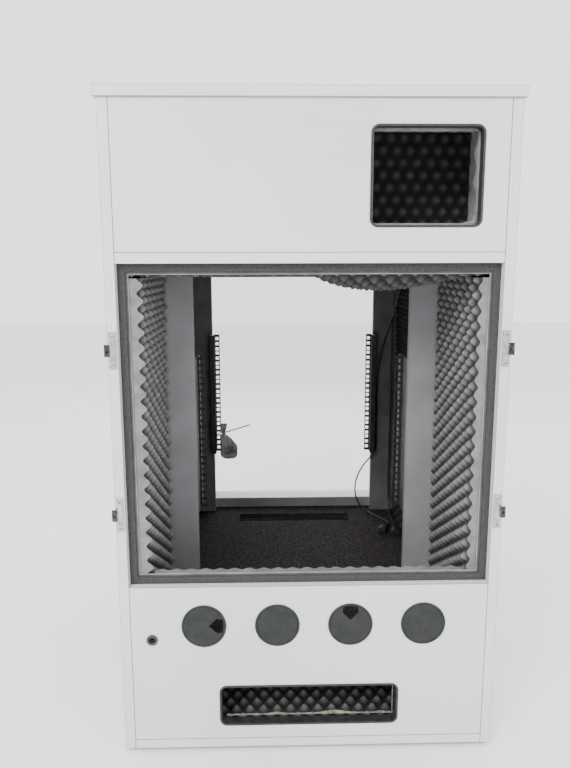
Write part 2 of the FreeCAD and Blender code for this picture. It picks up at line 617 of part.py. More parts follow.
def loose_things():
    for name, points in (("a", CORD_A), ("b", CORD_B)):
        points = beside_foam(points)
        item = doc.addObject("Part::Feature", "cord")
        item.Shape = cord_tube(points, SIZES["cord_radius"])
        node(item, f"fan_cord_{name}")
        end, before = points[-1], points[-2]
        heading = math.degrees(math.atan2(end[1] - before[1], end[0] - before[0]))
        plug(f"plug_{name}", (end[0], end[1], end[2] - SIZES["plug_tall"] / 2), heading)
    bag = doc.addObject("Part::Ellipsoid", "bag")
    bag.setExpression("Radius1", formula("bag_half_tall"))
    bag.setExpression("Radius2", formula("bag_half_wide"))
    bag.setExpression("Radius3", formula("bag_half_deep"))
    bag.Angle1, bag.Angle2, bag.Angle3 = -90, 90, 360
    place(bag, "bag_across", "bag_at", "bag_centre")
    hole = "(rail_centre - (rack_units - 3) * rack_unit / 2 - hole_step)"
    neck_top = f"{hole} + tie_thick + tie_clear"
    neck = rod("neck_radius", "neck_tall", ("neck_across", "neck_at", f"{neck_top} - neck_tall"))
    flare = doc.addObject("Part::Cone", "flare")
    flare.setExpression("Radius1", formula("neck_radius"))
    flare.setExpression("Radius2", formula("flare_radius"))
    flare.setExpression("Height", formula("flare_tall"))
    place(flare, "neck_across", "neck_at", neck_top)
    node(fuse(bag, neck, flare), "screw_bag")
    tail = Part.makeBox(SIZES["tie_long"], SIZES["tie_thick"], SIZES["tie_wide"],
                        Vector(SIZES["tie_loop"] - 1, 0, 0))
    tail.rotate(Vector(), Vector(0, 1, 0), -SIZES["tie_rise"])
    loop = Part.makeTorus(SIZES["tie_loop"], SIZES["tie_thick"])
    tie = doc.addObject("Part::Feature", "tie")
    tie.Shape = loop.fuse(tail)
    node(place(tie, "tie_across", "tie_at", hole), "bag_tie")


def build():
    carcass()
    front_wall()
    rear_panels()
    node(group(edge_trim("exhaust_wide", "exhaust_tall", "exhaust_across", "exhaust_centre"),
               edge_trim("intake_wide", "intake_tall", "0", "intake_centre")), "edge_trims")
    doorway()
    latch_keepers()
    rack_frames()
    foam_linings()
    grommets()
    power_jack()
    fans()
    front_door()
    hinges()
    loose_things()


build()
doc.recompute()

# ---------------------------------------------------------------- checks and export
for item in doc.Objects:
    faults = [state for state in item.State if state in ("Invalid", "Error")]
    if faults:
        raise RuntimeError(f"{item.Label} ({item.Name}): {faults}")
for item in nodes:
    if item.Shape.isNull() or not item.Shape.isValid():
        raise RuntimeError(f"{item.Label}: bad shape")
os.makedirs("parts", exist_ok=True)
for item in nodes:
    item.Shape.exportStep(f"parts/{item.Label}.step")
print(len(nodes), "sub-parts")
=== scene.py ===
"""Looks of the sound-damping rack cabinet: laminate, egg-crate foam, cords, camera and light."""
import bmesh
import bpy
import json
import math
import random
from mathutils import Matrix, Vector, noise

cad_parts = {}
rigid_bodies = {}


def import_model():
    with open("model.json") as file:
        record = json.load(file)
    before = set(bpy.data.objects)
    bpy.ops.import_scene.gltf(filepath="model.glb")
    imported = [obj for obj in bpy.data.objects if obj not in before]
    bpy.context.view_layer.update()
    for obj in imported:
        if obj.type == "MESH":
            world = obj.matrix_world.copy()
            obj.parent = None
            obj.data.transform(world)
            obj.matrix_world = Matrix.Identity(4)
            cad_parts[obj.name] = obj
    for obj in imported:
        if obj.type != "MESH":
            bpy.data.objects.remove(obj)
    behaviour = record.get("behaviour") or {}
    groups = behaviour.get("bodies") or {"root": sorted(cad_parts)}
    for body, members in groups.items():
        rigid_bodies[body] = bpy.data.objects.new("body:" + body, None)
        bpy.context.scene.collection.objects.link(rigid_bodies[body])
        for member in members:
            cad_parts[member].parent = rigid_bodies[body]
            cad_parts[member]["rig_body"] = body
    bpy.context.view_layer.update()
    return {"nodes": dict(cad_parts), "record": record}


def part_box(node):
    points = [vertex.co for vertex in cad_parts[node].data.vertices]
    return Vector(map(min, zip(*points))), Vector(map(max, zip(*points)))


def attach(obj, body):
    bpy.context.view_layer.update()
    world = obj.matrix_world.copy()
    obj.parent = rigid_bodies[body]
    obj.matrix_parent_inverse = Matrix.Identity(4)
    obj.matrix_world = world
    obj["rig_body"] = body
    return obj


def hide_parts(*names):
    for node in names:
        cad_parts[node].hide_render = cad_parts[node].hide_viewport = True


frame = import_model()
nodes = frame["nodes"]
random.seed(7)
MM = 0.001

# ------------------------------------------------------------------ where the CAD puts things
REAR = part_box("side_panel_left")[0].y                 # the service face
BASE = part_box("base_panel")[0].z


def spot(across, depth, height):
    """Metres in the row frame, from millimetres across, in from the rear face and over the base."""
    return Vector((across * MM, REAR + depth * MM, BASE + height * MM))


# ------------------------------------------------------------------ materials
def add(tree, kind, **values):
    item = tree.nodes.new(kind)
    for name, value in values.items():
        if name in item.inputs:
            item.inputs[name].default_value = value
        else:
            setattr(item, name, value)
    return item


def grey(level, tint=(1.0, 1.0, 1.0)):
    return tuple(level * part for part in tint) + (1.0,)


class Finish:
    """A Principled material whose colour, roughness and relief come from noise in metres."""

    def __init__(self, name, dark, light, rough=(0.5, 0.6), **sockets):
        self.material = bpy.data.materials.new(name)
        self.material.use_nodes = True
        self.tree = self.material.node_tree
        self.shader = self.tree.nodes["Principled BSDF"]
        for socket, value in sockets.items():
            self.shader.inputs[socket.replace("_", " ")].default_value = value
        self.place = add(self.tree, "ShaderNodeTexCoord").outputs["Object"]
        self.dark, self.light, self.rough = dark, light, rough
        self.colour = None
        self.height = None

    def link(self, source, target):
        self.tree.links.new(source, target)

    def noise(self, scale, detail=4.0, stretch=None):
        place = self.place
        if stretch:
            mapping = add(self.tree, "ShaderNodeMapping", Scale=stretch)
            self.link(place, mapping.inputs["Vector"])
            place = mapping.outputs["Vector"]
        item = add(self.tree, "ShaderNodeTexNoise", Scale=scale, Detail=detail)
        self.link(place, item.inputs["Vector"])
        return item.outputs["Fac"]

    def ramp(self, source, stops):
        item = add(self.tree, "ShaderNodeValToRGB")
        ramp = item.color_ramp
        while len(ramp.elements) < len(stops):
            ramp.elements.new(0.5)
        for element, (at, colour) in zip(ramp.elements, stops):
            element.position, element.color = at, colour
        self.link(source, item.inputs["Fac"])
        return item.outputs["Color"]

    def mix(self, factor, first, second, blend="MIX"):
        item = add(self.tree, "ShaderNodeMix", data_type="RGBA", blend_type=blend)
        for value, socket in ((factor, item.inputs[0]), (first, item.inputs[6]), (second, item.inputs[7])):
            if isinstance(value, (tuple, float)):
                socket.default_value = value
            else:
                self.link(value, socket)
        return item.outputs[2]

    def tones(self, scale, low=0.35, high=0.65, stretch=None):
        self.colour = self.ramp(self.noise(scale, stretch=stretch), [(low, self.dark), (high, self.light)])
        return self

    def relief(self, scale, depth, strength=1.0, detail=4.0, source=None, stretch=None):
        source = source or self.noise(scale, detail, stretch)
        item = add(self.tree, "ShaderNodeBump", Distance=depth, Strength=strength)
        self.link(source, item.inputs["Height"])
        if self.height:
            self.link(self.height, item.inputs["Normal"])
        self.height = item.outputs["Normal"]
        return self

    def done(self, rough_scale=60.0):
        self.link(self.colour, self.shader.inputs["Base Color"])
        item = add(self.tree, "ShaderNodeMapRange", **{"To Min": self.rough[0], "To Max": self.rough[1]})
        self.link(self.noise(rough_scale), item.inputs["Value"])
        self.link(item.outputs["Result"], self.shader.inputs["Roughness"])
        if self.height:
            self.link(self.height, self.shader.inputs["Normal"])
        return self.material


COOL, WARM = (0.965, 0.972, 1.0), (1.0, 0.95, 0.86)
laminate = Finish("laminate", grey(0.558, COOL), grey(0.63, COOL), (0.34, 0.48), Specular_IOR_Level=0.45)
laminate = laminate.tones(2.2).relief(420.0, 0.00012, 0.35).done()
laminate_edge = Finish("laminate_edge", grey(0.17, COOL), grey(0.26, COOL), (0.5, 0.7))
laminate_edge = laminate_edge.tones(160.0).relief(900.0, 0.0002, 0.5).done()
seat_board = Finish("seat_board", grey(0.15, WARM), grey(0.24, WARM), (0.55, 0.7))
seat_board = seat_board.tones(30.0).relief(600.0, 0.0002, 0.4).done()
# Near-black copy of the seat board: painted shade on the seat frame's face.
seat_painted_shade = Finish("seat_painted_shade", grey(0.035, WARM), grey(0.06, WARM), (0.6, 0.8))
seat_painted_shade = seat_painted_shade.tones(30.0).relief(600.0, 0.0002, 0.4).done()
grey_board = Finish("grey_board", grey(0.20, COOL), grey(0.25, COOL), (0.6, 0.75), Specular_IOR_Level=0.3)
grey_board = grey_board.tones(9.0).relief(500.0, 0.0002, 0.5).done()
charcoal = Finish("charcoal_paint", grey(0.11), grey(0.16), (0.6, 0.8))
charcoal = charcoal.tones(14.0).relief(700.0, 0.0003, 0.5).done()
wall_paint = Finish("wall_paint", grey(0.24), grey(0.30), (0.6, 0.8))
wall_paint = wall_paint.tones(14.0).relief(700.0, 0.0003, 0.5).done()
# Black paint of the rail battens; on the floor board's slot walls and in the keeper screws' cross recesses the
# black is painted shade.
black_paint_and_shade = Finish("black_paint_and_shade", grey(0.012), grey(0.024), (0.45, 0.7))
black_paint_and_shade = black_paint_and_shade.tones(40.0).relief(300.0, 0.0003).done()
powder_coat = Finish("powder_coat", grey(0.012), grey(0.022), (0.55, 0.7), Specular_IOR_Level=0.2)
powder_coat = powder_coat.tones(90.0).relief(1500.0, 0.00015, 0.6).done()
nickel = Finish("nickel", grey(0.34, WARM), grey(0.5), (0.14, 0.3), Metallic=1.0)
nickel = nickel.tones(120.0).relief(60.0, 0.0004, 0.35).done(300.0)
nickel_shade = Finish("nickel_shade", grey(0.015), grey(0.10), (0.14, 0.3), Metallic=1.0)
nickel_shade = nickel_shade.tones(160.0).relief(60.0, 0.0004, 0.35).done(300.0)
steel = Finish("brushed_steel", grey(0.4), grey(0.55), (0.28, 0.45), Metallic=1.0)
steel = steel.tones(90.0, stretch=(1.0, 1.0, 14.0))
steel = steel.relief(500.0, 0.0001, 0.5, stretch=(1.0, 1.0, 20.0)).done()
trim_vinyl = Finish("trim_vinyl", grey(0.014, COOL), grey(0.03, COOL), (0.35, 0.5), Specular_IOR_Level=0.35)
trim_vinyl = trim_vinyl.tones(80.0).relief(700.0, 0.0001, 0.5).done()
moulded = Finish("moulded_plastic", (0.012, 0.0135, 0.0128, 1), (0.020, 0.0215, 0.020, 1), (0.5, 0.66),
                 Specular_IOR_Level=0.3)
moulded = moulded.tones(60.0).relief(1400.0, 0.00016, 0.6).done()
black_plastic = Finish("black_plastic", grey(0.016), grey(0.03), (0.3, 0.45))
black_plastic = black_plastic.tones(70.0).relief(1200.0, 0.0001, 0.5).done()
vinyl = Finish("cord_vinyl", grey(0.012), grey(0.024), (0.32, 0.46)).tones(150.0).relief(900.0, 0.0001).done()
brass = Finish("plug_blades", (0.72, 0.66, 0.5, 1), (0.86, 0.82, 0.7, 1), (0.18, 0.3), Metallic=1.0)
brass = brass.tones(200.0).relief(400.0, 0.0001, 0.5).done()
nylon = Finish("white_nylon", grey(0.7, WARM), grey(0.8, WARM), (0.35, 0.5))
nylon = nylon.tones(90.0).relief(500.0, 0.0001).done()
gasket_rubber = Finish("gasket_foam", (0.024, 0.022, 0.022, 1), (0.045, 0.041, 0.040, 1), (0.75, 0.95))
gasket_rubber = gasket_rubber.tones(220.0).relief(1100.0, 0.0006).done()
torn_foam = Finish("torn_foam", (0.10, 0.09, 0.07, 1), (0.26, 0.24, 0.19, 1), (0.8, 1.0))
torn_foam = torn_foam.tones(120.0).relief(500.0, 0.001).done()


def make_foam(name, brightness, flat=False):
    """Open-cell foam with fine pores; its light peaks and dark valleys are painted shade, with some dust on
    the peaks.
    """
    finish = Finish(name, grey(0.1), grey(0.3), (0.85, 1.0))
    level = add(finish.tree, "ShaderNodeAttribute", attribute_name="peak").outputs["Fac"]
    tint = (1.0, 1.01, 0.97)
    if flat:
        shade = finish.ramp(finish.noise(25.0),
                            [(0.3, grey(0.8 * brightness, tint)), (0.7, grey(brightness, tint))])
    else:
        shade = finish.ramp(level, [(at, grey(share * brightness, tint)) for at, share in FOAM_PAINTED_SHADE_TONES])
    mottle = finish.ramp(finish.noise(45.0), [(0.3, grey(0.75)), (0.7, grey(1.15))])
    pores = finish.ramp(finish.noise(1300.0, 2.0), [(0.38, grey(0.62)), (0.6, grey(1.1))])
    finish.colour = finish.mix(1.0, finish.mix(1.0, shade, mottle, "MULTIPLY"), pores, "MULTIPLY")
    return finish.relief(1300.0, 0.0009, 0.9, 2.0).done()


def make_carpet():
    """Black needle felt with fine flecks of colour."""
    finish = Finish("carpet", grey(0.007), grey(0.018), (0.9, 1.0), Specular_IOR_Level=0.15)
    finish.tones(260.0)
    cells = add(finish.tree, "ShaderNodeTexVoronoi", Scale=420.0)
    finish.link(finish.place, cells.inputs["Vector"])
    near = finish.ramp(cells.outputs["Distance"], [(0.2, grey(1.0)), (0.5, grey(0.0))])
    bright = add(finish.tree, "ShaderNodeSeparateColor")
    finish.link(cells.outputs["Color"], bright.inputs["Color"])
    chosen = finish.ramp(bright.outputs["Red"], [(0.4, grey(0.0)), (0.7, grey(1.0))])
    fleck = finish.mix(0.85, cells.outputs["Color"], grey(0.05))
    finish.colour = finish.mix(finish.mix(1.0, near, chosen, "MULTIPLY"), finish.colour, fleck)
    return finish.relief(700.0, 0.002).done()


def make_clear(name, tint, rough, alpha, bump):
    finish = Finish(name, tint, tint, rough, Alpha=alpha, IOR=1.5, Specular_IOR_Level=0.8)
    finish.tones(12.0)
    if bump:
        finish.relief(160.0, bump, 1.0)
    return finish.done()


# Painted shade: the foam's tone from its dark valleys to its light peaks, as shares of its brightness.
FOAM_PAINTED_SHADE_TONES = ((0.0, 0.08), (0.3, 0.2), (0.62, 0.62), (1.0, 1.0))     # from valley to peak
# Copies of one foam: the plenum, shaded and darkest copies are painted shade for foam lying in shadow; the cut
# copy is flat, without the painted shade of the peaks.
foam = make_foam("acoustic_foam", 0.27)
foam_cut = make_foam("acoustic_foam_cut", 0.22, flat=True)
foam_plenum_shade = make_foam("acoustic_foam_plenum", 0.17)
foam_shaded = make_foam("acoustic_foam_shaded", 0.10)
foam_deep_shade = make_foam("acoustic_foam_dark", 0.035)
carpet_felt = make_carpet()
glass = make_clear("clear_glass", (0.90, 0.97, 0.94, 1), (0.02, 0.06), 0.10, 0)
film = make_clear("clear_film", (0.055, 0.048, 0.036, 1), (0.12, 0.25), 0.80, 0.004)


# ------------------------------------------------------------------ pieces made from CAD nodes
def mesh_object(name, bm, materials, smooth_under=None):
    """A new object from a bmesh; edges sharper than smooth_under degrees stay crisp."""
    mesh = bpy.data.meshes.new(name)
    bm.normal_update()
    bm.to_mesh(mesh)
    bm.free()
    for material in materials:
        mesh.materials.append(material)
    if smooth_under:
        mesh.shade_smooth()
        mesh.set_sharp_from_angle(angle=math.radians(smooth_under))
    item = bpy.data.objects.new(name, mesh)
    bpy.context.scene.collection.objects.link(item)
    return item


def stands_for(item, *names):
    """The piece hides the CAD nodes that it replaces and rides on the body of the first of them."""
    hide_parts(*names)
    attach(item, nodes[names[0]]["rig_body"])
    return item


def machined(name, finish, edge=None, width=0.8, inner=None, facing=None):
    """The CAD node with its sharp edges eased; faces that pass facing(centre, normal) get inner."""
    bm = bmesh.new()
    bm.from_mesh(nodes[name].data)
    bmesh.ops.remove_doubles(bm, verts=bm.verts, dist=1e-6)
    bmesh.ops.dissolve_limit(bm, angle_limit=math.radians(1), verts=bm.verts, edges=bm.edges)
    for face in bm.faces:
        if facing and facing(face.calc_center_median(), face.normal):
            face.material_index = 2
    sharp = [edge for edge in bm.edges if len(edge.link_faces) == 2 and edge.calc_face_angle() > 0.6]
    bmesh.ops.bevel(bm, geom=sharp, offset=width * MM, segments=2, profile=0.5, affect="EDGES",
                    clamp_overlap=True, material=1)
    return stands_for(mesh_object(name + "_piece", bm, [finish, edge or finish, inner or finish], 22), name)


def behind_front_wall(centre, normal):
    return normal.y < -0.5


def on_hook(centre, normal):
    """Faces that get the painted-shade copy of the nickel: the hook and the rims of a keeper's plate."""
    return centre.y < REAR - 2.5 * MM or abs(normal.x) > 0.5


for name in ("base_panel", "side_panel_left", "side_panel_right", "top_panel", "rear_upper_panel",
             "rear_lower_panel", "ceiling_board", "front_door_frame"):
    machined(name, laminate, laminate_edge)
for name in ("front_stile_left", "front_stile_right", "front_rail_low", "front_rail_high"):
    machined(name, laminate, laminate_edge, inner=wall_paint, facing=behind_front_wall)
# The seat frame's face gets the near-black copy as painted shade; the light seat board shows only on its 2 mm
# eased edges.
machined("door_seat_frame", seat_painted_shade, seat_board, 2.0)
for name in ("rack_board_rear_left", "rack_board_rear_right", "side_liners"):
    machined(name, grey_board, grey_board)
for name in ("rack_board_front_left", "rack_board_front_right"):
    machined(name, charcoal, charcoal)
# The floor board shows only as the walls of the air slot; its black there is painted shade.
for name in ("floor_board", "rail_battens"):
    machined(name, black_paint_and_shade)
for name in ("rack_rail_rear_left", "rack_rail_rear_right", "rack_rail_front_left", "rack_rail_front_right"):
    machined(name, powder_coat, powder_coat, 0.35)
for name in ("latch_keeper_high_left", "latch_keeper_high_right", "latch_keeper_low_left",
             "latch_keeper_low_right"):
    machined(name, nickel, nickel, 0.4, inner=nickel_shade, facing=on_hook)
machined("edge_trims", trim_vinyl, trim_vinyl, 0.5)
machined("grommet_liners", moulded, moulded, 0.5)
for index in range(1, 5):
    machined(f"grommet_cap_{index}", moulded, moulded, 0.6)
machined("power_jack", black_plastic, black_plastic, 0.4)
for name in ("fan_frames", "fan_rotor_left", "fan_rotor_right"):
    machined(name, black_plastic, black_plastic, 0.4)
machined("hinge_leaves_fixed", steel, steel, 0.2)
machined("hinge_leaves_door", steel, steel, 0.2)
machined("front_door_handle", powder_coat, powder_coat, 0.5)
machined("front_door_glass", glass, glass, 0.4)
machined("glides", nylon, nylon, 0.6)
machined("door_seat_gasket", gasket_rubber, gasket_rubber, 1.2)

# ------------------------------------------------------------------ egg-crate foam
CREST = 27.7 * MM           # from peak to peak; the peaks lie in a honeycomb
VALLEY = 0.42               # the valleys' share of the foam's thickness


def egg_crate(name, back, across, up, out, step=4.0, keep=None, lift=None, phase=0.0, skins=None):
    """A slab between its flat back and its egg-crate face.

    back is a corner of the flat back; across and up are the slab's sides from there, and out its
    thickness, as vectors. keep(point) leaves holes, and lift(point) moves the whole slab.
    """
    wide, tall, thick = across.length, up.length, out.length
    columns, rows = max(2, round(wide / (step * MM))), max(2, round(tall / (step * MM)))
    bm = bmesh.new()
    peak = bm.verts.layers.float.new("peak")
    turn, half = 2 * math.pi / (CREST * math.sqrt(3)), 2 * math.pi / CREST
    on_side_wall = abs(out.normalized().x) > 0.5     # there the rows of peaks stand upright
    rows_along = Vector((0, 0, 1)) if on_side_wall else Vector((1, 0, 0))
    rows_across = abs(across.normalized().dot(rows_along)) > 0.5

    def vertex(column, row, height, level):
        u, v = column / columns, row / rows
        point = back + across * u + up * v + out * height
        if lift:
            point = point + lift(point)
        made = bm.verts.new(point)
        made[peak] = level
        return made

    face_side, back_side = {}, {}
    for column in range(columns + 1):
        for row in range(rows + 1):
            u, v = wide * column / columns, tall * row / rows
            along, aside = (u, v) if rows_across else (v, u)
            level = (math.cos(turn * 2 * aside + phase) + 2 * math.cos(turn * aside + phase / 2)
                     * math.cos(half * along + phase) + 1.5) / 4.5
            wander = 0.04 * noise.noise(Vector((u * 40, v * 40, phase)))
            height = min(1.0, VALLEY + (1 - VALLEY) * level * (0.96 + wander))
            face_side[column, row] = vertex(column, row, height, level)
            back_side[column, row] = vertex(column, row, 0.0, 0.75)
    cells = {(c, r) for c in range(columns) for r in range(rows)
             if not keep or keep(back + across * ((c + 0.5) / columns) + up * ((r + 0.5) / rows))}
    for c, r in cells:
        ring = [(c, r), (c + 1, r), (c + 1, r + 1), (c, r + 1)]
        bm.faces.new([face_side[k] for k in ring])
        bm.faces.new([back_side[k] for k in reversed(ring)])
        for first, second, beside in ((ring[0], ring[1], (c, r - 1)), (ring[1], ring[2], (c + 1, r)),
                                      (ring[2], ring[3], (c, r + 1)), (ring[3], ring[0], (c - 1, r))):
            if beside not in cells:
                end = bm.faces.new([back_side[first], back_side[second], face_side[second], face_side[first]])
                end.material_index = 1
    loose = [v for v in bm.verts if not v.link_faces]
    bmesh.ops.delete(bm, geom=loose, context="VERTS")
    for face in bm.faces:
        face.smooth = True
    return mesh_object(name, bm, skins or [foam, foam_cut], 62)


def lining(node, face, step=4.0, keep=None, lift=None, phase=0.0, name=None, corners=None, skins=None):
    """Egg-crate foam in the box of a CAD node, with its bumps towards one of +X -X +Y -Y +Z -Z."""
    low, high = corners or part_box(node)
    axis = "XYZ".index(face[1])
    size = high - low
    first, second = [i for i in range(3) if i != axis]
    sides = [Vector(), Vector(), Vector()]
    for i in range(3):
        sides[i][i] = size[i]
    if face[0] == "+":
        back, out = low.copy(), sides[axis]
    else:
        back, out = low + sides[axis], -sides[axis]
    across, up = sides[first], sides[second]
    if across.cross(up).dot(out) < 0:
        across, up = up, across
    return egg_crate(name or node + "_egg_crate", back, across, up, out, step, keep, lift, phase, skins)


def finish_foam(item, *names):
    stands_for(item, *names)


for side, face, phase in (("left", "+X", 0.6), ("right", "-X", 1.9)):
    finish_foam(lining(f"side_foam_rear_{side}", face, phase=phase), f"side_foam_rear_{side}")

liner_low, liner_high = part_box("grommet_liners")
hole_radius = (liner_high.z - liner_low.z) / 2 + 0.5 * MM
grommet_height = (liner_high.z + liner_low.z) / 2
grommet_across = [sum(corner.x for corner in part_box(f"grommet_cap_{index}")) / 2 for index in range(1, 5)]


def clear_of_grommets(point):
    return all(math.hypot(point.x - x, point.z - grommet_height) > hole_radius for x in grommet_across)


finish_foam(lining("lower_panel_foam", "+Y", keep=clear_of_grommets, phase=0.4), "lower_panel_foam")

middle_low, middle_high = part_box("side_foam_middle")
foam_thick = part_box("lower_plenum_foam")[1].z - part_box("lower_plenum_foam")[0].z
parts = []
# The middle side foams get the darkest foam copy as painted shade: they lie in shadow behind the near boards.
for side, face in ((-1, "+X"), (1, "-X")):
    low, high = middle_low.copy(), middle_high.copy()
    if side < 0:
        high.x = low.x + foam_thick
    else:
        low.x = high.x - foam_thick
    parts.append(lining(None, face, 6.0, phase=1.2, name="side_foam_middle_egg_crate", corners=(low, high),
                        skins=[foam_deep_shade, foam_deep_shade]))


def joined(items):
    """Several meshes of the same materials as one piece."""
    bm = bmesh.new()
    for item in items:
        bm.from_mesh(item.data)
    keep = items[0]
    bm.to_mesh(keep.data)
    bm.free()
    for item in items[1:]:
        bpy.data.objects.remove(item)
    return keep


finish_foam(joined(parts), "side_foam_middle")

ceiling_low, ceiling_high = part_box("ceiling_foam")
fan_places = [tuple((a + b) / 2 for a, b in zip(*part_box(f"fan_rotor_{side}"))) for side in ("left", "right")]
fan_bore = (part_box("fan_rotor_left")[1].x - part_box("fan_rotor_left")[0].x) / 2 + 3 * MM
boards = [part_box(f"rack_board_{where}_{side}") for where in ("rear", "front") for side in ("left", "right")]


def clear_of_fans_and_boards(point):
    if any(math.hypot(point.x - x, point.y - y) < fan_bore for x, y, z in fan_places):
        return False
    return not any(low.x - 2 * MM < point.x < high.x + 2 * MM and low.y - 2 * MM < point.y < high.y + 2 * MM
                   for low, high in boards)


SAG, SAG_REACH = 30 * MM, 290 * MM
SAG_START, SAG_WIDE = 16 * MM, 276 * MM


def ceiling_sag(point):
    """The ceiling foam has come unstuck just inside the doorway, right of the middle."""
    across = (point.x - SAG_START) / SAG_WIDE
    along = (point.y - ceiling_low.y) / SAG_REACH
    if not 0 < across < 1 or along > 1:
        return Vector()
    drop = math.sin(math.pi * across ** 0.85) ** 0.8 * math.sin(math.pi * along ** 0.8) ** 0.9
    return Vector((0, 0, -SAG * drop))


# The ceiling foam gets the shaded foam copy as painted shade.
finish_foam(lining("ceiling_foam", "-Z", 5.0, keep=clear_of_fans_and_boards, lift=ceiling_sag, phase=0.9,
                   skins=[foam_shaded, foam_shaded]), "ceiling_foam")
# The plenum foam gets a darker foam copy as painted shade.
finish_foam(lining("lower_plenum_foam", "+Z", 4.5, phase=0.3, skins=[foam_plenum_shade, foam_plenum_shade]),
            "lower_plenum_foam")

PORT_MARGIN = 2.8 * MM      # the foam is cut back from the port


def opening(name):
    """Low and high corner of one of the record's openings."""
    found = [item for item in frame["record"]["physics"]["openings"] if item["name"] == name]
    return [Vector(corner) for corner in found[0]["box_m"]]


port_low, port_high = opening("exhaust_port")


def clear_of_exhaust(point):
    return not (port_low.x - PORT_MARGIN < point.x < port_high.x + PORT_MARGIN
                and port_low.z - PORT_MARGIN < point.z < port_high.z + PORT_MARGIN)


finish_foam(lining("upper_panel_foam", "+Y", 4.5, keep=clear_of_exhaust), "upper_panel_foam")


# The baffle's foam pad gets the shaded foam copy as painted shade.
def make_baffle():
    """The board behind the exhaust, with foam on the side that faces the port."""
    low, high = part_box("exhaust_baffle")
    split = low.y + 15 * MM
    pad = lining(None, "-Y", 4.5, name="exhaust_baffle_foam", phase=0.5, skins=[foam_shaded, foam_shaded],
                 corners=(low.copy(), Vector((high.x, split, high.z))))
    stands_for(pad, "exhaust_baffle")
    bm = bmesh.new()
    for vertex in bmesh.ops.create_cube(bm, size=1.0)["verts"]:
        share = vertex.co + Vector((0.5, 0.5, 0.5))
        vertex.co = Vector((low.x + (high.x - low.x) * share.x, split + (high.y - split) * share.y,
                            low.z + (high.z - low.z) * share.z))
    bmesh.ops.bevel(bm, geom=bm.edges[:], offset=0.6 * MM, segments=2, affect="EDGES")
    board = mesh_object("exhaust_baffle_board", bm, [charcoal])
    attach(board, "cabinet")


make_baffle()


# ------------------------------------------------------------------ carpet
def make_carpet_piece():
    low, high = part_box("floor_carpet")
    slot_low, slot_high = opening("floor_air_slot")
    step = 4 * MM
    columns, rows = round((high.x - low.x) / step), round((high.y - low.y) / step)
    bm = bmesh.new()
    grid = {}
    for c in range(columns + 1):
        for r in range(rows + 1):
            point = Vector((low.x + (high.x - low.x) * c / columns,
                            low.y + (high.y - low.y) * r / rows, high.z))
            point.z -= 0.0009 * (0.5 + 0.5 * noise.noise(point * 260))
            grid[c, r] = bm.verts.new(point)
    for c in range(columns):
        for r in range(rows):
            x, y = low.x + step * (c + 0.5), low.y + step * (r + 0.5)
            if slot_low.x < x < slot_high.x and slot_low.y < y < slot_high.y:
                continue
            bm.faces.new([grid[c, r], grid[c + 1, r], grid[c + 1, r + 1], grid[c, r + 1]])
    bmesh.ops.delete(bm, geom=[v for v in bm.verts if not v.link_faces], context="VERTS")
    down = bmesh.ops.extrude_face_region(bm, geom=bm.faces[:])
    for vertex in [g for g in down["geom"] if isinstance(g, bmesh.types.BMVert)]:
        vertex.co.z = low.z
    bmesh.ops.recalc_face_normals(bm, faces=bm.faces)
    stands_for(mesh_object("carpet_felt", bm, [carpet_felt], 50), "floor_carpet")


make_carpet_piece()

# ------------------------------------------------------------------ cords and plugs
# Control points in millimetres: across, in from the rear face, over the base.
CORD_A = ((302, 765, 903), (301, 770, 858), (299, 800, 807), (291, 830, 768), (284, 856, 728),
          (275, 875, 682), (266, 886, 634), (261, 892, 580), (260, 894, 524), (261, 893, 466),
          (260, 895, 408), (262, 893, 353), (245, 891, 325), (222, 888, 301), (204, 886, 269),
          (195, 884, 232), (199, 888, 196), (212, 889, 167), (231, 881, 151), (248, 857, 148.6),
          (264, 828, 148.6), (281, 801, 149), (288, 772, 151), (272, 742, 154.8))
CORD_B = ((301, 850, 903), (302, 862, 850), (303, 872, 792), (301, 880, 733), (303, 884, 675),
          (302, 881, 615), (304, 885, 556), (302, 883, 497), (303, 886, 438), (301, 884, 380),
          (303, 886, 322), (301, 885, 265), (303, 883, 212), (302, 872, 170), (300, 843, 150),
          (302, 802, 148.6), (301, 762, 150), (297, 728, 154.8))
CORD_RADIUS = 2.2 * MM


def cord_curve(name, points):
    curve = bpy.data.curves.new(name, "CURVE")
    curve.dimensions = "3D"
    curve.bevel_depth = 1.0                           # times each point's radius
    curve.bevel_resolution = 4
    curve.use_fill_caps = True
    curve.resolution_u = 6
    spline = curve.splines.new("NURBS")
    spline.points.add(len(points) - 1)
    for point, place in zip(spline.points, points):
        point.co = (*spot(*place), 1.0)
        point.radius = CORD_RADIUS
    spline.order_u = 3
    spline.use_endpoint_u = True
    curve.materials.append(vinyl)
    item = bpy.data.objects.new(name, curve)
    bpy.context.scene.collection.objects.link(item)
    return item


def measured(item):
    """The curve's own length, bevel left out."""
    depth, item.data.bevel_depth = item.data.bevel_depth, 0.0
    shown = item.evaluated_get(bpy.context.evaluated_depsgraph_get())
    points = [vertex.co.copy() for vertex in shown.to_mesh().vertices]
    shown.to_mesh_clear()
    item.data.bevel_depth = depth
    return sum((b - a).length for a, b in zip(points, points[1:]))


def rings(bm, stations, segments=24, material=0):
    """A closed body through stations (along, half width, half height, squareness) on local X."""
    loops = []
    for along, half_wide, half_tall, square in stations:
        loop = []
        for k in range(segments):
            turn = 2 * math.pi * k / segments
            power = 2 / square
            y = half_wide * math.copysign(abs(math.cos(turn)) ** power, math.cos(turn))
            z = half_tall * math.copysign(abs(math.sin(turn)) ** power, math.sin(turn))
            loop.append(bm.verts.new((along, y, z)))
        loops.append(loop)
    for first, second in zip(loops, loops[1:]):
        for k in range(segments):
            face = bm.faces.new([first[k], first[(k + 1) % segments], second[(k + 1) % segments], second[k]])
            face.material_index = material
    bm.faces.new(list(reversed(loops[0]))).material_index = material
    bm.faces.new(loops[-1]).material_index = material


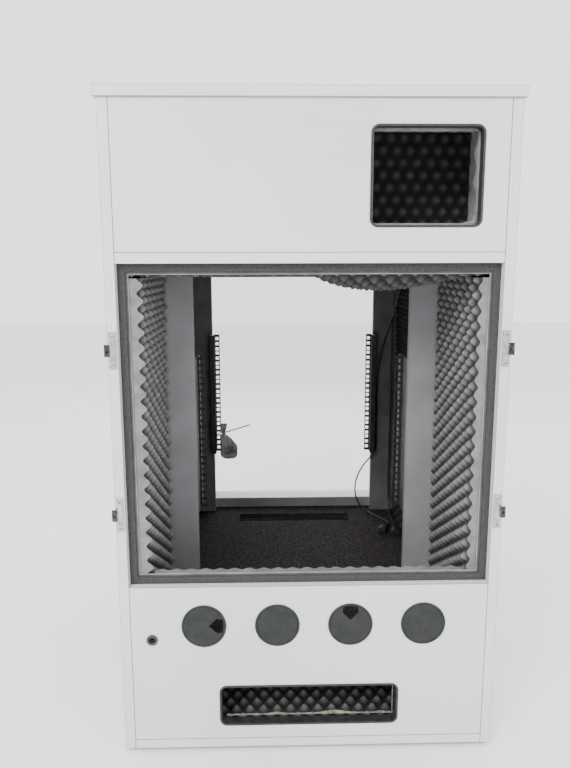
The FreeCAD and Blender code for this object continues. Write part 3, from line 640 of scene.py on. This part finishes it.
def make_plug(node, points):
    """A moulded two-blade plug with a ribbed strain relief and a finger grip."""
    low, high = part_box(node)
    end, before = spot(*points[-1]), spot(*points[-2])
    heading = (end - before)
    heading.z = 0
    heading.normalize()
    bm = bmesh.new()
    long, wide, tall = 38 * MM, 12.5 * MM, 8.5 * MM
    body = [(0.0, .30, .42, 2.4), (.04, .42, .62, 2.6), (.16, .62, .80, 3.0), (.30, .80, .90, 3.4),
            (.40, .84, .92, 3.6), (.44, .80, .88, 3.6), (.48, .86, .93, 3.6), (.52, .82, .89, 3.6),
            (.56, .90, .95, 3.8), (.74, .96, .98, 4.2), (.93, .98, .98, 4.6), (.98, .95, .95, 4.6),
            (1.0, .90, .90, 4.6)]
    rings(bm, [(at * long, half * wide, half_tall * tall, square) for at, half, half_tall, square in body])
    for side in (-1, 1):
        blade = bmesh.ops.create_cube(bm, size=1.0)["verts"]
        for vertex in blade:
            tip = 0.8 if vertex.co.x > 0 else 1.0
            vertex.co = Vector((long + 7.5 * MM + vertex.co.x * 17 * MM,
                                side * 6.35 * MM + vertex.co.y * 1.5 * MM * tip,
                                vertex.co.z * 6.3 * MM * tip))
        for face in {face for vertex in blade for face in vertex.link_faces}:
            face.material_index = 1
    item = mesh_object(node + "_moulded", bm, [vinyl, brass], 40)
    turn = Matrix.Rotation(math.atan2(heading.y, heading.x), 4, "Z")
    item.data.transform(Matrix.Translation(end) @ turn)
    item.data.update()
    return stands_for(item, node)


def make_relief(name, point, along):
    """Ribbed sleeve where a cord comes out of the foam."""
    bm = bmesh.new()
    stations = []
    for rib in range(6):
        at = rib * 4 * MM
        size = (4.6 - 0.35 * rib) * MM
        stations += [(at, size, size, 2.0), (at + 2.2 * MM, size, size, 2.0),
                     (at + 2.4 * MM, size - 0.7 * MM, size - 0.7 * MM, 2.0),
                     (at + 3.8 * MM, size - 0.7 * MM, size - 0.7 * MM, 2.0)]
    rings(bm, stations)
    item = mesh_object(name, bm, [vinyl], 35)
    item.data.transform(Matrix.Translation(point) @ along.to_track_quat("X", "Z").to_matrix().to_4x4())
    item.data.update()
    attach(item, "cabinet")
    return item


for letter, points in (("a", CORD_A), ("b", CORD_B)):
    cord = stands_for(cord_curve(f"fan_cord_{letter}_line", points), f"fan_cord_{letter}")
    end_piece = make_plug(f"plug_{letter}", points)
    relief = make_relief(f"cord_relief_{letter}", spot(*points[0]), spot(*points[1]) - spot(*points[0]))
    round(measured(cord), 3)


# ------------------------------------------------------------------ bag of screws and its tie
NECK_ASIDE = 16 * MM        # the knot hangs to the left of the bag's middle
NECK = 0.69                 # where the tie grips, as a share of the bag's height


def add_mesh(target, part):
    """Copy one bmesh into another and free it."""
    carrier = bpy.data.meshes.new("carrier")
    part.to_mesh(carrier)
    target.from_mesh(carrier)
    part.free()
    bpy.data.meshes.remove(carrier)


def make_bag():
    low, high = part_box("screw_bag")
    centre, half = (low + high) / 2, (high - low) / 2
    bm = bmesh.new()
    levels, segments = 48, 60
    loops = []
    for level in range(levels + 1):
        t = level / levels
        if t < NECK:                                  # round below the tie
            reach = math.sin(math.pi * (t / NECK) ** 0.7) ** 0.42 + 0.13
        else:                                         # and open like a fan above it
            reach = 0.13 + 0.30 * ((t - NECK) / (1 - NECK)) ** 0.8
        loop = []
        for k in range(segments):
            turn = 2 * math.pi * k / segments
            direction = Vector((math.cos(turn), math.sin(turn), 0))
            crease = 1 + 0.16 * noise.noise(Vector((math.cos(turn) * 2.6, math.sin(turn) * 2.6, t * 7))) \
                + (0.12 * math.sin(turn * 9 + 3 * t) if t > 0.5 else 0.05 * math.sin(turn * 5 + t * 11))
            point = Vector((half.x * 0.94 * reach * crease * direction.x,
                            half.y * 0.9 * reach * crease * direction.y,
                            -half.z * 0.98 + 2 * half.z * 0.98 * t))
            lean = min(1.0, max(0.0, (t - 0.3) / (NECK - 0.3)))
            point.x = max(-half.x, min(half.x, point.x - NECK_ASIDE * lean * lean * (3 - 2 * lean)))
            point.y = max(-half.y, min(half.y, point.y))
            loop.append(bm.verts.new(centre + point))
        loops.append(loop)
    for first, second in zip(loops, loops[1:]):
        for k in range(segments):
            bm.faces.new([first[k], first[(k + 1) % segments], second[(k + 1) % segments], second[k]])
    bm.faces.new(list(reversed(loops[0])))
    bag = mesh_object("screw_bag_film", bm, [film], 75)
    stands_for(bag, "screw_bag")
    screws = bmesh.new()
    for index in range(16):
        long, wide = 16 * MM, 1.6 * MM
        part = bmesh.new()
        stations = [(0, 3.4 * MM, 3.4 * MM, 2), (1.2 * MM, 3.2 * MM, 3.2 * MM, 2), (2.2 * MM, wide, wide, 2)]
        for thread in range(9):
            at = 2.6 * MM + thread * 1.4 * MM
            stations += [(at, wide * 1.2, wide * 1.2, 2), (at + 0.7 * MM, wide * 0.8, wide * 0.8, 2)]
        stations.append((long, 0.3 * MM, 0.3 * MM, 2))
        rings(part, stations, 10)
        turn = (Matrix.Rotation(random.uniform(0, math.pi), 4, "Z")
                @ Matrix.Rotation(random.uniform(-0.7, 0.7), 4, "Y"))
        place = Vector((random.uniform(-0.42, 0.30) * half.x, random.uniform(-0.25, 0.25) * half.y,
                        -half.z * 0.72 + random.uniform(0.0, 0.5) * half.z))
        if abs((turn @ Vector((long, 0, 0))).y) > half.y * 0.5:
            turn = Matrix.Rotation(random.uniform(-0.5, 0.5), 4, "Y")
        part.transform(Matrix.Translation(centre + place) @ turn)
        add_mesh(screws, part)
    item = mesh_object("screws_in_bag", screws, [nickel], 40)
    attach(item, "cabinet")


make_bag()
machined("bag_tie", black_plastic, black_plastic, 0.3)


# ------------------------------------------------------------------ Phillips screws in the keepers
# The cross recesses of the screws get black as painted shade.
def make_screws():
    low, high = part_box("keeper_screws")
    source = bmesh.new()
    source.from_mesh(nodes["keeper_screws"].data)
    bmesh.ops.remove_doubles(source, verts=source.verts, dist=1e-6)
    centres = []
    waiting = set(source.verts)
    while waiting:
        island, edge = set(), [waiting.pop()]
        while edge:
            vertex = edge.pop()
            island.add(vertex)
            for link in vertex.link_edges:
                other = link.other_vert(vertex)
                if other in waiting:
                    waiting.discard(other)
                    edge.append(other)
        xs, zs = [v.co.x for v in island], [v.co.z for v in island]
        centres.append(((min(xs) + max(xs)) / 2, (min(zs) + max(zs)) / 2))
    source.free()
    bm = bmesh.new()
    head, thick = 3.5 * MM, 1.3 * MM
    for x, z in centres:
        part = bmesh.new()
        spin = random.uniform(0, math.pi / 2)
        dome = [(0.0, head, head, 2), (0.25 * thick, head, head, 2), (0.6 * thick, head * 0.9, head * 0.9, 2),
                (0.88 * thick, head * 0.66, head * 0.66, 2), (thick, head * 0.40, head * 0.40, 2)]
        rings(part, dome, 28)
        for quarter in (0, 1):
            slot = bmesh.ops.create_cube(part, size=1.0)["verts"]
            for vertex in slot:
                vertex.co = Vector((thick * 0.72 + vertex.co.x * thick * 0.62, vertex.co.y * head * 1.15,
                                    vertex.co.z * head * 0.22))
            turn = Matrix.Rotation(spin + quarter * math.pi / 2, 3, "X")
            bmesh.ops.rotate(part, verts=slot, cent=(0, 0, 0), matrix=turn)
            for face in {face for vertex in slot for face in vertex.link_faces}:
                face.material_index = 1
        part.transform(Matrix.Translation((x, low.y + 1.4 * MM, z)) @ Matrix.Rotation(-math.pi / 2, 4, "Z"))
        add_mesh(bm, part)
    stands_for(mesh_object("keeper_screws_phillips", bm, [nickel, black_paint_and_shade], 35), "keeper_screws")


make_screws()


# ------------------------------------------------------------------ torn foam at the two ports
def torn_edge(name, start, end, depth, base, swell, seed, inward):
    """A ragged strip of the foam's backing that stands out from under an edge."""
    bm = bmesh.new()
    steps = 90
    previous = None
    for index in range(steps + 1):
        t = index / steps
        at = start.lerp(end, t)
        ragged = noise.noise(Vector((t * 9, seed, 0))) * 0.6 + noise.noise(Vector((t * 37, seed, 3))) * 0.4
        reach = base * (1 + 0.7 * ragged) + sum(size * math.exp(-((t - place) / width) ** 2)
                                                 for place, width, size in swell)
        row = []
        for depth_share, reach_share in ((0, 0), (0, 0.7), (0.3, 1.0), (1.0, 0.85), (1.0, 0)):
            row.append(bm.verts.new(at + depth * depth_share + inward * max(0.2 * MM, reach * reach_share)))
        if previous:
            for k in range(len(row)):
                bm.faces.new([previous[k], row[k], row[(k + 1) % len(row)], previous[(k + 1) % len(row)]])
        else:
            bm.faces.new(list(reversed(row)))
        previous = row
    bm.faces.new(previous)
    bmesh.ops.recalc_face_normals(bm, faces=bm.faces)
    item = mesh_object(name, bm, [torn_foam], 50)
    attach(item, "cabinet")
    return item


TORN_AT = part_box("rear_upper_panel")[1].y + 1 * MM      # just behind the panel's inner face
TORN_DEEP = Vector((0, 3 * MM, 0))
LEFTWARDS, UPWARDS = Vector((-1, 0, 0)), Vector((0, 0, 1))
in_low, in_high = opening("intake_port")
# name, start and end (x, z), base and swells (place, width, size) in millimetres, seed, way in
TORN = (
    ("exhaust_torn_side", (port_high.x + 7.5 * MM, port_low.z - 2 * MM),
     (port_high.x + 7.5 * MM, port_high.z - 8 * MM), 1.8,
     ((0.02, 0.10, 7), (0.45, 0.16, 1.5)), 4.0, LEFTWARDS),
    ("exhaust_torn_sill", (port_high.x - 42 * MM, port_low.z - 4 * MM),
     (port_high.x + 3 * MM, port_low.z - 4 * MM), 1.8, ((0.8, 0.2, 4),), 9.0, UPWARDS),
    ("intake_torn_sill", (in_low.x + 2 * MM, in_low.z - 0.5 * MM), (in_high.x + 2 * MM, in_low.z - 0.5 * MM),
     1.6, ((0.30, 0.04, 4), (0.65, 0.08, 6), (0.93, 0.03, 3)), 2.0, UPWARDS),
    ("intake_torn_side", (in_high.x + 3 * MM, in_low.z), (in_high.x + 3 * MM, in_high.z), 1.5, (), 6.0,
     LEFTWARDS),
)
for name, (start_x, start_z), (end_x, end_z), base, swells, seed, way in TORN:
    torn_edge(name, Vector((start_x, TORN_AT, start_z)), Vector((end_x, TORN_AT, end_z)), TORN_DEEP,
              base * MM, [(at, width, size * MM) for at, width, size in swells], seed, way)


# ------------------------------------------------------------------ floor, light and camera
def make_floor():
    finish = Finish("pale_floor", grey(0.80), grey(0.84), (0.6, 0.75)).tones(3.0).relief(80.0, 0.0004, 0.3)
    bm = bmesh.new()
    bmesh.ops.create_grid(bm, x_segments=4, y_segments=4, size=9.0)
    item = mesh_object("studio_floor", bm, [finish.done()])


def lamp(name, place, target, size, power, colour=(1, 1, 1)):
    data = bpy.data.lights.new(name, "AREA")
    data.shape, data.size, data.energy, data.color = "DISK", size, power, colour
    item = bpy.data.objects.new(name, data)
    item.location = place
    item.rotation_euler = (Vector(target) - Vector(place)).to_track_quat("-Z", "Y").to_euler()
    bpy.context.scene.collection.objects.link(item)


make_floor()
world = bpy.data.worlds.new("studio")
bpy.context.scene.world = world
world.use_nodes = True
world.node_tree.nodes["Background"].inputs["Color"].default_value = (0.96, 0.98, 1.0, 1.0)
world.node_tree.nodes["Background"].inputs["Strength"].default_value = 2.3
lamp("soft_key", (-1.6, -3.2, 2.9), (0, 0, 0.7), 1.8, 150)
lamp("soft_fill", (1.9, -2.8, 1.9), (0, 0, 0.6), 2.2, 22)
lamp("window_light", (0.3, 2.6, 1.9), (0, 0.4, 0.6), 1.6, 40, (1.0, 0.97, 0.92))

CAMERA_AT = (-0.0725, -1.7237, 0.9392)
PITCH_DOWN, YAW_RIGHT, ROLL = math.radians(10.05), math.radians(1.31), math.radians(-0.14)
camera = bpy.data.cameras.new("camera")
camera.lens, camera.sensor_width, camera.sensor_fit = 32.2, 36.0, "AUTO"
camera.clip_start = 0.02
viewer = bpy.data.objects.new("camera", camera)
bpy.context.scene.collection.objects.link(viewer)
viewer.matrix_world = (Matrix.Translation(CAMERA_AT) @ Matrix.Rotation(-YAW_RIGHT, 4, "Z")
                       @ Matrix.Rotation(math.pi / 2 - PITCH_DOWN, 4, "X") @ Matrix.Rotation(ROLL, 4, "Z"))
bpy.context.scene.camera = viewer
